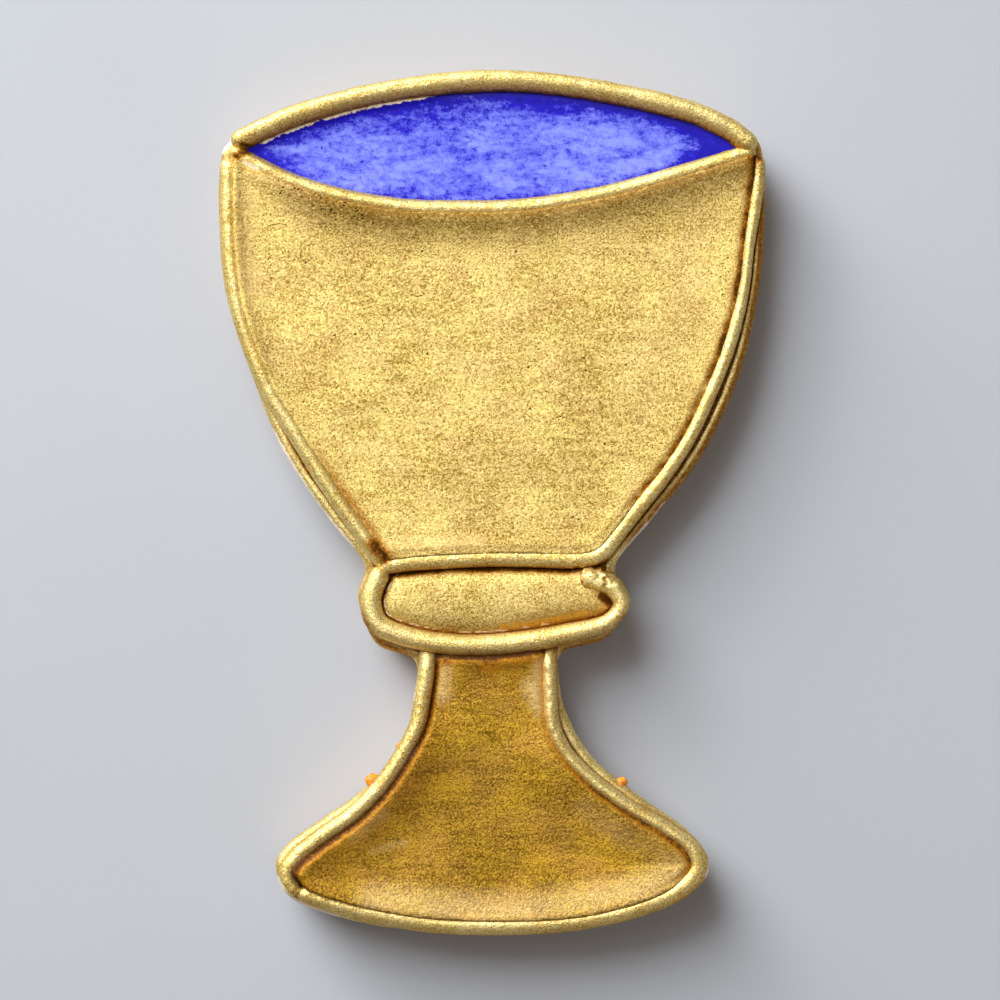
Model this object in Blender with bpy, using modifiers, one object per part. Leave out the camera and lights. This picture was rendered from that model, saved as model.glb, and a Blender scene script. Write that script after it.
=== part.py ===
"""A sugar cookie in the shape of a communion chalice, decorated with royal icing.

It lies flat: +X is the chalice's right, +Y points from the foot to the rim, and +Z is up through
the thickness. The origin is on the underside, in the middle of the outline's bounding box.
The baked slab carries a white base coat, and on that stand raised piped lines with thin floods of
icing between them. Routes and outlines are control points in millimetres, joined by smooth curves.
"""

from math import cos, pi, radians, sin

import bmesh
import bpy
from mathutils import Vector
from mathutils.geometry import intersect_line_line_2d

MM = 0.001  # metres in a millimetre

# Driving dimensions, in millimetres
GAP = 0.3  # clearance between neighbouring solids
COOKIE_THICKNESS = 6.4
COOKIE_INSET = 0.5  # how far the baked edge lies inside the icing's edge
COOKIE_EDGE_ROUND = 1.4
BASE_LINE_HALF_WIDTH = 0.9  # the piped outline of the base coat
BASE_COAT_THICKNESS = 1.5
BASE_COAT_EDGE_ROUND = 0.2
LINE_HEIGHT_RATIO = 1.65  # a piped line's height over its half width
LINE_FOOT_ANGLE = -25  # degrees below level where a line's round side meets its flat foot
SECTION_POINTS = 9  # points round a piped line's section
STATION = 2.0  # spacing of the sections along a piped line
EDGE_STATION = 2.7  # spacing of the points round the cookie's outline
TAPER_LENGTH = 1.6  # how far a piped line takes to reach its full size at its ends
END_SHARE = 0.5  # its size at the very end, as a share of the full size
SIDE_OVERRUN = 2.5  # how far a flood's sides run on before they are cut where they cross
SHARP_ANGLE = 60  # degrees; edges sharper than this are rounded on the flat layers

BASE_COAT_Z = COOKIE_THICKNESS + GAP
TOP_COAT_Z = BASE_COAT_Z + BASE_COAT_THICKNESS + GAP  # where the lines and floods stand

# Half widths of the piped lines
RIM_BACK_HALF_WIDTH = 1.3
RIM_FRONT_HALF_WIDTH = 1.0
BOWL_LEFT_HALF_WIDTH = 1.05
BOWL_RIGHT_HALF_WIDTH = 0.85
KNOP_HALF_WIDTH = 1.3
FOOT_LEFT_HALF_WIDTH = 1.05
FOOT_BASE_HALF_WIDTH = 1.05

# Thicknesses of the floods, and how far their top edges are rounded
WINE_THICKNESS = 0.6
BOWL_THICKNESS = 1.2
KNOP_THICKNESS = 1.3
FOOT_THICKNESS = 0.9
FLOOD_EDGE_ROUND = 0.35

# The icing's outer edge, anticlockwise from the rim's left corner
ICING_EDGE = [
    (-30.8, 42.9), (-32.1, 40.2), (-32.3, 33.0), (-31.5, 24.8), (-28.9, 16.5), (-24.7, 6.1),
    (-18.9, -2.4), (-15.1, -7.3), (-15.8, -11.4), (-13.6, -16.7), (-9.3, -18.5), (-9.2, -22.5),
    (-10.5, -28.1), (-14.5, -33.2), (-20.2, -37.4), (-24.4, -40.5), (-25.6, -43.3), (-23.4, -47.0),
    (-15.1, -49.7), (-6.5, -50.7), (2.2, -50.9), (10.6, -50.4), (18.6, -48.3), (24.2, -45.5),
    (25.7, -42.4), (23.1, -38.7), (17.7, -34.8), (12.0, -30.1), (8.9, -25.0), (7.9, -21.0),
    (8.3, -17.6), (13.4, -16.0), (16.4, -11.6), (14.6, -7.4), (19.3, -1.6), (24.6, 5.3),
    (28.9, 14.2), (31.4, 24.0), (32.3, 34.0), (32.1, 40.4), (30.8, 43.5), (25.7, 46.6),
    (16.6, 49.2), (8.1, 50.5), (-0.2, 50.9), (-8.6, 50.4), (-16.7, 48.8), (-24.7, 46.5),
]

# The middles of the piped lines, in the order they were piped
RIM_BACK = [
    (-29.0, 42.9), (-25.3, 44.7), (-21.2, 46.2), (-14.3, 48.0), (-7.1, 49.2), (-0.1, 49.7),
    (7.1, 49.3), (15.5, 48.0), (23.1, 46.1), (26.9, 44.5), (29.0, 43.2),
]
RIM_FRONT = [
    (-30.1, 41.1), (-27.9, 39.9), (-23.6, 37.9), (-17.7, 36.1), (-10.5, 34.9), (-3.2, 34.7),
    (4.0, 34.9), (13.2, 36.4), (20.6, 38.4), (26.0, 40.0), (30.0, 41.3),
]
BOWL_LEFT = [
    (-31.0, 38.9), (-31.0, 35.0), (-30.7, 28.7), (-29.9, 23.2), (-28.4, 18.3), (-26.2, 13.2),
    (-23.6, 9.1), (-19.8, 2.9), (-16.2, -2.3), (-13.6, -5.3),
]
BOWL_RIGHT_AND_BASE = [
    (31.3, 39.1), (31.0, 35.3), (30.15, 30.2), (29.4, 24.7), (27.6, 18.2), (25.3, 12.6),
    (23.0, 7.7), (20.1, 3.2), (17.0, -0.8), (14.4, -4.1), (12.6, -6.0), (9.8, -6.7), (5.7, -6.6), (0.0, -6.6),
    (-6.0, -6.8), (-11.3, -7.2),
]
KNOP = [
    (-13.2, -9.3), (-14.3, -11.6), (-13.4, -14.2), (-10.2, -15.7), (-5.4, -16.6), (-0.5, -16.75),
    (4.5, -16.2), (9.6, -15.2), (13.5, -14.1), (15.1, -12.2), (14.7, -10.4), (12.6, -9.4),
]
FOOT_LEFT = [
    (-7.7, -19.2), (-8.1, -22.1), (-8.8, -25.9), (-10.3, -29.1), (-12.9, -33.1), (-16.2, -36.5),
    (-20.4, -39.5), (-23.0, -41.6), (-23.9, -43.2), (-23.7, -44.3),
]
FOOT_BASE_AND_RIGHT = [
    (-21.9, -46.0), (-18.9, -47.1), (-14.1, -48.4), (-7.0, -49.5), (2.2, -49.8), (9.5, -49.4),
    (15.5, -48.2), (20.3, -46.5), (23.2, -44.6), (24.3, -42.6), (23.3, -40.4), (20.3, -38.2),
    (16.1, -35.7), (11.5, -32.3), (8.6, -29.2), (7.2, -26.1), (6.9, -22.8), (6.8, -19.0),
]

# The widest parts of the routes that bound two floods each, as slices of their control points
BASE_LINE_START = 11  # the base line begins here in BOWL_RIGHT_AND_BASE
KNOP_UNDERSIDE = slice(2, 10)
TAIL_REACH = 3.5  # half length of the knop flood's short side, where the knop line's tail ends

# Lumps of pooled paint stuck to the edge: a point beside each, and its radius
CRUMBS = {
    "paint_crumb_upper_left": ((-10.6, -29.4), 0.45),
    "paint_crumb_lower_left": ((-13.9, -32.8), 0.65),
    "paint_crumb_right": ((15.0, -33.6), 0.5),
}
CRUMB_Z = BASE_COAT_Z + 0.6
CRUMB_CLEARANCE = 0.2
CRUMB_EDGE_STATION = 0.5

# Colours, as linear red, green and blue
BAKED = (0.55, 0.30, 0.12)
WHITE_ICING = (0.88, 0.80, 0.66)
WINE_BLUE = (0.08, 0.07, 0.62)
GOLD = (0.62, 0.40, 0.11)
OCHRE_GOLD = (0.42, 0.24, 0.05)
ORANGE_PAINT = (0.75, 0.28, 0.02)


def clear_scene():
    for item in list(bpy.data.objects):
        bpy.data.objects.remove(item, do_unlink=True)


def new_collection(name):
    collection = bpy.data.collections.new(name)
    bpy.context.scene.collection.children.link(collection)
    return collection


def material(name, colour, roughness, metallic=0.0):
    made = bpy.data.materials.new(name)
    made.use_nodes = True
    shader = made.node_tree.nodes["Principled BSDF"]
    shader.inputs["Base Color"].default_value = (*colour, 1)
    shader.inputs["Roughness"].default_value = roughness
    shader.inputs["Metallic"].default_value = metallic
    return made


def smooth_route(controls, spacing, closed=False):
    """Points about `spacing` apart on a Catmull-Rom curve through the control points."""
    knots = [Vector(p) for p in controls]
    count = len(knots)
    if closed:
        around = knots
    else:
        around = [2 * knots[0] - knots[1], *knots, 2 * knots[-1] - knots[-2]]
    points = []
    for i in range(count if closed else count - 1):
        if closed:
            a, b, c, d = (around[(i + k) % count] for k in (-1, 0, 1, 2))
        else:
            a, b, c, d = around[i : i + 4]
        steps = max(1, round((c - b).length / spacing))
        for s in range(steps):
            t = s / steps
            points.append(
                0.5
                * (
                    2 * b
                    + (c - a) * t
                    + (2 * a - 5 * b + 4 * c - d) * t**2
                    + (3 * b - a - 3 * c + d) * t**3
                )
            )
    if not closed:
        points.append(knots[-1].copy())
    return points


def left_offset(points, distance, closed=False):
    """The same path moved `distance` to the left of its direction of travel."""
    moved = []
    last = len(points) - 1
    for i, point in enumerate(points):
        before = points[i - 1] if closed or i else point
        after = points[(i + 1) % len(points)] if closed or i < last else point
        along = (after - before).normalized()
        moved.append(point + Vector((-along.y, along.x)) * distance)
    return moved


def lengthened(points, extra):
    """The path with a straight stretch added at both ends."""
    first = points[0] + (points[0] - points[1]).normalized() * extra
    last = points[-1] + (points[-1] - points[-2]).normalized() * extra
    return [first, *points, last]


def crossing(path, other):
    """Where `path`, read back from its end, first crosses `other`: (index, other's index, point)."""
    for i in range(len(path) - 2, -1, -1):
        for j in range(len(other) - 1):
            point = intersect_line_line_2d(path[i], path[i + 1], other[j], other[j + 1])
            if point:
                return i, j, point
    raise ValueError("two sides of a flood don't meet")


def enclosed(sides):
    """The outline between sides that run anticlockwise, cut where each crosses the next."""
    outline = []
    cuts = [crossing(side, sides[(k + 1) % len(sides)]) for k, side in enumerate(sides)]
    for k, side in enumerate(sides):
        start = cuts[k - 1][1] + 1
        end, _, corner = cuts[k]
        outline += [*side[start : end + 1], corner]
    return outline


def finish_object(item, collection, made_of):
    item.data.materials.append(made_of)
    collection.objects.link(item)
    return item


def line_section(collection):
    """A piped line's cross-section for a half width of one millimetre: round, with a flat foot."""
    foot_angle = radians(LINE_FOOT_ANGLE)
    rise = LINE_HEIGHT_RATIO / (1 - sin(foot_angle))
    data = bpy.data.curves.new("line_section", "CURVE")
    data.dimensions = "2D"
    data.fill_mode = "NONE"
    spline = data.splines.new("POLY")
    spline.points.add(SECTION_POINTS - 1)
    for k in range(SECTION_POINTS):
        angle = pi - foot_angle - (pi - 2 * foot_angle) * k / (SECTION_POINTS - 1)
        up = (sin(angle) - sin(foot_angle)) * rise
        spline.points[k].co = (cos(angle) * MM, up * MM, 0, 1)
    spline.use_cyclic_u = True
    section = bpy.data.objects.new("line_section", data)
    section.hide_render = True
    section.display_type = "WIRE"
    collection.objects.link(section)
    return section


def piped_line(name, points, half_width, z, section, closed=False):
    """A line of icing along the points, standing on height z and drawn thinner at its ends."""
    data = bpy.data.curves.new(name, "CURVE")
    data.dimensions = "3D"
    data.twist_mode = "Z_UP"
    data.bevel_mode = "OBJECT"
    data.bevel_object = section
    data.use_fill_caps = not closed
    spline = data.splines.new("POLY")
    spline.points.add(len(points) - 1)
    spline.use_cyclic_u = closed
    for knot, point in zip(spline.points, points):
        nearest_end = min((point - points[0]).length, (point - points[-1]).length)
        share = 1 if closed else min(1, END_SHARE + (1 - END_SHARE) * nearest_end / TAPER_LENGTH)
        knot.co = (point.x * MM, point.y * MM, z * MM, 1)
        knot.radius = half_width * share
    return bpy.data.objects.new(name, data)


def slab(name, outline, low, high, edge_round):
    """A flat-bottomed layer with the given outline and rounded edges."""
    mesh = bpy.data.meshes.new(name)
    shape = bmesh.new()
    face = shape.faces.new([shape.verts.new((p.x * MM, p.y * MM, low * MM)) for p in outline])
    top = bmesh.ops.extrude_face_region(shape, geom=[face])["geom"]
    raised = [part for part in top if isinstance(part, bmesh.types.BMVert)]
    bmesh.ops.translate(shape, verts=raised, vec=(0, 0, (high - low) * MM))
    bmesh.ops.recalc_face_normals(shape, faces=shape.faces)
    shape.to_mesh(mesh)
    shape.free()
    item = bpy.data.objects.new(name, mesh)
    bevel = item.modifiers.new("rounded_edges", "BEVEL")
    bevel.limit_method = "ANGLE"
    bevel.angle_limit = radians(SHARP_ANGLE)
    bevel.width = edge_round * MM
    bevel.segments = 2
    return item


def near(route, control):
    """The index of the route's point closest to a control point."""
    target = Vector(control)
    return min(range(len(route)), key=lambda i: (route[i] - target).length)


def crumb(name, beside, radius, edge):
    """A small lump just outside the edge, level with the base coat."""
    nearest = near(edge, beside)
    along = (edge[nearest + 1] - edge[nearest - 1]).normalized()
    middle = edge[nearest] + Vector((along.y, -along.x)) * (radius + CRUMB_CLEARANCE)
    mesh = bpy.data.meshes.new(name)
    shape = bmesh.new()
    bmesh.ops.create_uvsphere(shape, u_segments=8, v_segments=6, radius=radius * MM)
    shape.to_mesh(mesh)
    shape.free()
    mesh.shade_smooth()
    item = bpy.data.objects.new(name, mesh)
    item.location = (middle.x * MM, middle.y * MM, CRUMB_Z * MM)
    return item


def inner_side(route, half_width, backwards=False):
    """The inner edge that a piped line gives to the flood on its left."""
    path = list(reversed(route)) if backwards else route
    return lengthened(left_offset(path, half_width + GAP), SIDE_OVERRUN)


def build_base(parts, section):
    baked = material("baked_cookie", BAKED, 0.85)
    white = material("white_icing", WHITE_ICING, 0.5)
    edge = smooth_route(ICING_EDGE, EDGE_STATION, closed=True)

    cookie_edge = left_offset(edge, COOKIE_INSET, closed=True)
    cookie = slab("cookie_base", cookie_edge, 0, COOKIE_THICKNESS, COOKIE_EDGE_ROUND)
    finish_object(cookie, parts, baked)

    line = left_offset(edge, BASE_LINE_HALF_WIDTH, closed=True)
    outline = piped_line(
        "base_coat_outline", line, BASE_LINE_HALF_WIDTH, BASE_COAT_Z, section, closed=True
    )
    finish_object(outline, parts, white)

    pool = left_offset(edge, 2 * BASE_LINE_HALF_WIDTH + GAP, closed=True)
    top = BASE_COAT_Z + BASE_COAT_THICKNESS
    flood = slab("base_coat_flood", pool, BASE_COAT_Z, top, BASE_COAT_EDGE_ROUND)
    finish_object(flood, parts, white)


def build_lines(parts, section, routes):
    gold = material("gold_lustre_line", GOLD, 0.42, 0.9)
    for name, (route, half_width) in routes.items():
        line = piped_line(name, route, half_width, TOP_COAT_Z, section)
        finish_object(line, parts, gold)


def build_floods(parts, routes):
    def side(name, backwards=False, part=slice(None)):
        route, half_width = routes[name]
        return inner_side(route[part], half_width, backwards)

    base_line, knop_line = "bowl_right_and_base_bead", "knop_bead"
    base_run = slice(near(routes[base_line][0], BOWL_RIGHT_AND_BASE[BASE_LINE_START]), None)
    knop_run = slice(
        near(routes[knop_line][0], KNOP[KNOP_UNDERSIDE.start]),
        near(routes[knop_line][0], KNOP[KNOP_UNDERSIDE.stop]),
    )
    tail_x = KNOP[-1][0] - END_SHARE * KNOP_HALF_WIDTH - GAP
    beside_tail = [Vector((tail_x, KNOP[-1][1] + reach)) for reach in (-TAIL_REACH, TAIL_REACH)]
    pools = {
        "wine_flood": (
            [side("rim_front_bead"), side("rim_back_bead", backwards=True)],
            WINE_THICKNESS,
            material("wine_blue_icing", WINE_BLUE, 0.4),
        ),
        "bowl_flood": (
            [
                side("bowl_left_bead"),
                side(base_line, backwards=True),
                side("rim_front_bead", backwards=True),
            ],
            BOWL_THICKNESS,
            material("gold_lustre_flood", GOLD, 0.45, 0.9),
        ),
        "knop_flood": (
            [side(knop_line), beside_tail, side(base_line, part=base_run)],
            KNOP_THICKNESS,
            material("gold_lustre_knop", GOLD, 0.45, 0.9),
        ),
        "stem_and_foot_flood": (
            [
                side("foot_left_bead"),
                side("foot_base_and_right_bead"),
                side(knop_line, backwards=True, part=knop_run),
            ],
            FOOT_THICKNESS,
            material("ochre_lustre_flood", OCHRE_GOLD, 0.45, 0.9),
        ),
    }
    for name, (sides, thickness, made_of) in pools.items():
        pool = slab(name, enclosed(sides), TOP_COAT_Z, TOP_COAT_Z + thickness, FLOOD_EDGE_ROUND)
        finish_object(pool, parts, made_of)


def main():
    clear_scene()
    parts = new_collection("chalice_cookie")
    guides = new_collection("guides")
    section = line_section(guides)
    routes = {
        "rim_back_bead": (RIM_BACK, RIM_BACK_HALF_WIDTH),
        "rim_front_bead": (RIM_FRONT, RIM_FRONT_HALF_WIDTH),
        "bowl_left_bead": (BOWL_LEFT, BOWL_LEFT_HALF_WIDTH),
        "bowl_right_and_base_bead": (BOWL_RIGHT_AND_BASE, BOWL_RIGHT_HALF_WIDTH),
        "knop_bead": (KNOP, KNOP_HALF_WIDTH),
        "foot_left_bead": (FOOT_LEFT, FOOT_LEFT_HALF_WIDTH),
        "foot_base_and_right_bead": (FOOT_BASE_AND_RIGHT, FOOT_BASE_HALF_WIDTH),
    }
    routes = {
        name: (smooth_route(controls, STATION), half) for name, (controls, half) in routes.items()
    }
    build_base(parts, section)
    build_lines(parts, section, routes)
    build_floods(parts, routes)
    paint = material("orange_paint", ORANGE_PAINT, 0.5)
    edge = smooth_route(ICING_EDGE, CRUMB_EDGE_STATION, closed=True)
    for name, (beside, radius) in CRUMBS.items():
        finish_object(crumb(name, beside, radius, edge), parts, paint)


main()
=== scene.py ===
"""Looks of the chalice-shaped iced cookie: piped lines and floods of royal icing over a baked slab.

Every piece stands for one solid of the frame and lies where that solid lies. Routes and outlines are
control points in millimetres in the frame's own axes: +X right, +Y from foot to rim, +Z up.
"""

import math
import random
from collections import namedtuple

import bmesh
import bpy
import numpy as np
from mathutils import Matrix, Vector, noise
from mathutils.geometry import delaunay_2d_cdt, intersect_line_line_2d, tessellate_polygon


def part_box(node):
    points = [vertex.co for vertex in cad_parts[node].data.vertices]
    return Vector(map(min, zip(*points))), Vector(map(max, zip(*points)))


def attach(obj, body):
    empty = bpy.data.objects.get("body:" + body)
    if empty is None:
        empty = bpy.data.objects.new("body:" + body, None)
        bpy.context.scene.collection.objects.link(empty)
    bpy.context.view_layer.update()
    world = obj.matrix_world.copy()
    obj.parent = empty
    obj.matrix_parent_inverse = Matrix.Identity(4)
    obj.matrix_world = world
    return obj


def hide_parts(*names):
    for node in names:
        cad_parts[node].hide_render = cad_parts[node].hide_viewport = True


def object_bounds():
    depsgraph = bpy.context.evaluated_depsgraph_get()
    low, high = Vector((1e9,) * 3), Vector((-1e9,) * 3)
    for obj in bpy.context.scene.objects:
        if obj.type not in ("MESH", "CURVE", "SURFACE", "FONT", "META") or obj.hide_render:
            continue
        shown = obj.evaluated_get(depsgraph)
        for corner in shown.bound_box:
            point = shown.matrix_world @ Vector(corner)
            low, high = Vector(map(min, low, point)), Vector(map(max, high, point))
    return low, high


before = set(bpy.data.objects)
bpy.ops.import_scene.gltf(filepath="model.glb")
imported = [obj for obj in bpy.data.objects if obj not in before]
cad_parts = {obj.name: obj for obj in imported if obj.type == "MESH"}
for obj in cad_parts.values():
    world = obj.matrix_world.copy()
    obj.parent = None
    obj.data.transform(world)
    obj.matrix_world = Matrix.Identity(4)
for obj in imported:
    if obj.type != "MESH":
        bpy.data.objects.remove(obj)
CAD_LOW, CAD_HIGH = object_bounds()
LENGTH = 101.91  # the cookie's length in the units of the control points, millimetres
MM = (CAD_HIGH.y - CAD_LOW.y) / LENGTH


def top_of(node):
    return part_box(node)[1].z / MM


# Heights of the layers, in millimetres
COOKIE_TOP = top_of("cookie_base")
BASE_COAT_TOP = top_of("base_coat_flood")
LINE_FOOT = BASE_COAT_TOP - 0.1  # the lines and floods reach a little into the base coat
BOWL_LEVEL = top_of("bowl_flood") - 0.15
WINE_LEVEL = top_of("wine_flood") - 0.1
KNOP_LEVEL = top_of("knop_flood") + 0.1
FOOT_LEVEL = top_of("stem_and_foot_flood") - 0.1

# The icing's outer edge, anticlockwise from the rim's left corner
ICING_EDGE = [
    (-30.8, 42.9), (-32.1, 40.2), (-32.3, 33.0), (-31.5, 24.8), (-28.9, 16.5), (-24.7, 6.1),
    (-18.9, -2.4), (-15.1, -7.3), (-15.8, -11.4), (-13.6, -16.7), (-9.3, -18.5), (-9.2, -22.5),
    (-10.5, -28.1), (-14.5, -33.2), (-20.2, -37.4), (-24.4, -40.5), (-25.6, -43.3), (-23.4, -47.0),
    (-15.1, -49.7), (-6.5, -50.7), (2.2, -50.9), (10.6, -50.4), (18.6, -48.3), (24.2, -45.5),
    (25.7, -42.4), (23.1, -38.7), (17.7, -34.8), (12.0, -30.1), (8.9, -25.0), (7.9, -21.0),
    (8.3, -17.6), (13.4, -16.0), (16.4, -11.6), (14.6, -7.4), (19.3, -1.6), (24.6, 5.3),
    (28.9, 14.2), (31.4, 24.0), (32.3, 34.0), (32.1, 40.4), (30.8, 43.5), (25.7, 46.6),
    (16.6, 49.2), (8.1, 50.5), (-0.2, 50.9), (-8.6, 50.4), (-16.7, 48.8), (-24.7, 46.5),
]

# The middles of the piped lines, in the order they were piped
RIM_BACK = [
    (-30.5, 41.9), (-29.1, 42.9), (-25.3, 44.7), (-21.2, 46.2), (-14.3, 48.0), (-7.1, 49.2),
    (-0.1, 49.7), (7.1, 49.3), (15.5, 48.0), (23.1, 46.1), (26.9, 44.5), (29.0, 43.2), (30.9, 41.5),
]
RIM_FRONT = [
    (-31.0, 41.4), (-30.1, 41.1), (-27.9, 39.9), (-23.6, 37.9), (-17.7, 36.1), (-10.5, 34.9),
    (-3.2, 34.7), (4.0, 34.9), (13.2, 36.4), (20.6, 38.4), (26.0, 40.0), (30.0, 41.3), (31.0, 41.7),
]
BOWL_LEFT = [
    (-30.9, 40.6), (-31.0, 38.9), (-31.0, 35.0), (-30.7, 28.7), (-29.9, 23.2), (-28.4, 18.3),
    (-26.2, 13.2), (-23.6, 9.1), (-19.8, 2.9), (-16.2, -2.3), (-13.2, -6.4), (-12.4, -7.4),
]
BOWL_RIGHT_AND_BASE = [
    (31.2, 41.0), (31.4, 39.1), (31.0, 35.3), (30.25, 30.2), (29.55, 24.7), (27.8, 18.1),
    (25.5, 12.5), (23.15, 7.6), (20.2, 3.1), (17.0, -0.8), (14.4, -4.1), (12.6, -6.0), (9.8, -6.6),
    (5.7, -6.5), (0.0, -6.5), (-6.0, -6.7), (-11.3, -7.15), (-13.6, -7.7),
]
KNOP = [
    (-12.6, -7.6), (-13.6, -9.2), (-14.3, -11.6), (-13.4, -14.2), (-10.2, -15.7), (-5.4, -16.6),
    (-0.5, -16.75), (4.5, -16.2), (9.6, -15.2), (13.5, -14.1), (15.2, -12.2), (14.8, -10.5),
    (13.6, -9.4), (12.1, -9.0), (10.2, -8.5),
]
FOOT_LEFT = [
    (-7.6, -16.6), (-7.7, -19.2), (-8.1, -22.1), (-8.8, -25.9), (-10.3, -29.1), (-12.9, -33.1),
    (-16.2, -36.5), (-20.4, -39.5), (-23.0, -41.6), (-24.1, -43.2), (-23.9, -44.7), (-22.8, -46.1),
]
FOOT_BASE_AND_RIGHT = [
    (-22.7, -45.4), (-21.9, -46.0), (-18.9, -47.1), (-14.1, -48.4), (-7.0, -49.5), (2.2, -49.8),
    (9.5, -49.4), (15.5, -48.2), (20.3, -46.5), (23.2, -44.6), (24.3, -42.6), (23.3, -40.4),
    (20.3, -38.2), (16.1, -35.7), (11.5, -32.3), (8.6, -29.2), (7.2, -26.1), (6.9, -22.8),
    (6.8, -19.0), (6.9, -16.6),
]


# ---------------------------------------------------------------- curves

def smooth_route(controls, spacing, closed=False):
    """Points about `spacing` apart on a Catmull-Rom curve through the control points."""
    knots = [Vector(p) for p in controls]
    count = len(knots)
    around = knots if closed else [2 * knots[0] - knots[1], *knots, 2 * knots[-1] - knots[-2]]
    points = []
    for i in range(count if closed else count - 1):
        if closed:
            a, b, c, d = (around[(i + k) % count] for k in (-1, 0, 1, 2))
        else:
            a, b, c, d = around[i : i + 4]
        steps = max(1, round((c - b).length / spacing))
        for s in range(steps):
            t = s / steps
            bend = (2 * a - 5 * b + 4 * c - d) * t**2 + (3 * b - a - 3 * c + d) * t**3
            points.append(0.5 * (2 * b + (c - a) * t + bend))
    if not closed:
        points.append(knots[-1].copy())
    return points


def left_offset(points, distance, closed=False):
    """The same path moved `distance` to the left of its direction of travel."""
    moved = []
    last = len(points) - 1
    for i, point in enumerate(points):
        before = points[i - 1] if closed or i else point
        after = points[(i + 1) % len(points)] if closed or i < last else point
        along = (after - before).normalized()
        moved.append(point + Vector((-along.y, along.x)) * distance)
    return moved


def lengthened(points, extra):
    """The path with a straight stretch added at both ends."""
    first = points[0] + (points[0] - points[1]).normalized() * extra
    last = points[-1] + (points[-1] - points[-2]).normalized() * extra
    return [first, *points, last]


def crossing(path, other):
    """Where `path`, read back from its end, first crosses `other`: (index, other's index, point)."""
    for i in range(len(path) - 2, -1, -1):
        for j in range(len(other) - 1):
            point = intersect_line_line_2d(path[i], path[i + 1], other[j], other[j + 1])
            if point:
                return i, j, point
    raise ValueError("two sides of a flood don't meet")


def enclosed(sides):
    """The outline between sides that run anticlockwise, cut where each crosses the next."""
    outline = []
    cuts = [crossing(side, sides[(k + 1) % len(sides)]) for k, side in enumerate(sides)]
    for k, side in enumerate(sides):
        start = cuts[k - 1][1] + 1
        end, _, corner = cuts[k]
        outline += [*side[start : end + 1], corner]
    return outline


def respaced(outline, spacing):
    """A closed outline with its points evenly spaced."""
    points = np.array([tuple(p) for p in outline])
    closed = np.vstack([points, points[:1]])
    steps = np.hypot(*np.diff(closed, axis=0).T)
    along = np.concatenate([[0], np.cumsum(steps)])
    count = max(8, int(along[-1] / spacing))
    at = np.linspace(0, along[-1], count, endpoint=False)
    return np.column_stack([np.interp(at, along, closed[:, 0]), np.interp(at, along, closed[:, 1])])


def distance_to(path, places, closed=False):
    """How far each place is from a path of straight runs."""
    line = np.array([tuple(p) for p in path])
    if closed:
        line = np.vstack([line, line[:1]])
    starts, runs = line[:-1], np.diff(line, axis=0)
    squares = np.maximum((runs**2).sum(1), 1e-12)
    nearest = np.full(len(places), np.inf)
    for start, run, square in zip(starts, runs, squares):
        share = np.clip(((places - start) @ run) / square, 0, 1)
        gap = places - start - share[:, None] * run
        nearest = np.minimum(nearest, np.hypot(gap[:, 0], gap[:, 1]))
    return nearest


def inside(outline, places):
    """Whether each place is inside a closed outline."""
    found = np.zeros(len(places), bool)
    x, y = places[:, 0], places[:, 1]
    for (xa, ya), (xb, yb) in zip(outline, np.roll(outline, -1, axis=0)):
        if ya == yb:
            continue
        spans = (ya > y) != (yb > y)
        found ^= spans & (x < (xb - xa) * (y - ya) / (yb - ya) + xa)
    return found


def ripple(places, size, seed):
    """Smooth noise from -1 to 1 at each place, with features about `size` across."""
    shift = Vector((seed * 17.3, seed * 5.9, seed * 11.1))
    scale = 1 / size
    if places.shape[1] == 2:
        return np.array([noise.noise(Vector((x * scale, y * scale, 0)) + shift) for x, y in places])
    return np.array([noise.noise(Vector(p) * scale + shift) for p in places])


# ---------------------------------------------------------------- meshes

def make_object(name, vertices, faces, marks=None):
    """A mesh object from vertices in millimetres, with a float attribute for each mark.

    No vertex leaves the frame's box.
    """
    mesh = bpy.data.meshes.new(name)
    held = np.clip(np.asarray(vertices) * MM, tuple(CAD_LOW), tuple(CAD_HIGH))
    mesh.from_pydata(held.tolist(), [], faces)
    for key, values in (marks or {}).items():
        attribute = mesh.attributes.new(key, "FLOAT", "POINT")
        attribute.data.foreach_set("value", np.asarray(values, np.float32))
    shape = bmesh.new()
    shape.from_mesh(mesh)
    bmesh.ops.recalc_face_normals(shape, faces=shape.faces)
    shape.to_mesh(mesh)
    shape.free()
    mesh.shade_smooth()
    made = bpy.data.objects.new(name, mesh)
    bpy.context.scene.collection.objects.link(made)
    return made


def stand_for(piece, node, material):
    """The piece takes the node's place and the given material."""
    piece.data.materials.clear()
    piece.data.materials.append(material)
    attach(piece, "root")
    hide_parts(node)


LINE_STATION = 0.2  # spacing of the sections along a line
LINE_SIDES = 34  # points over the rounded part of a section
FOOT_ANGLE = math.radians(-22)  # where the rounded part meets the foot
AWAY_FROM_LIGHT = np.array([0.59, -0.81])  # flat direction away from the key light; flanks turned this way get painted shade


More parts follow.
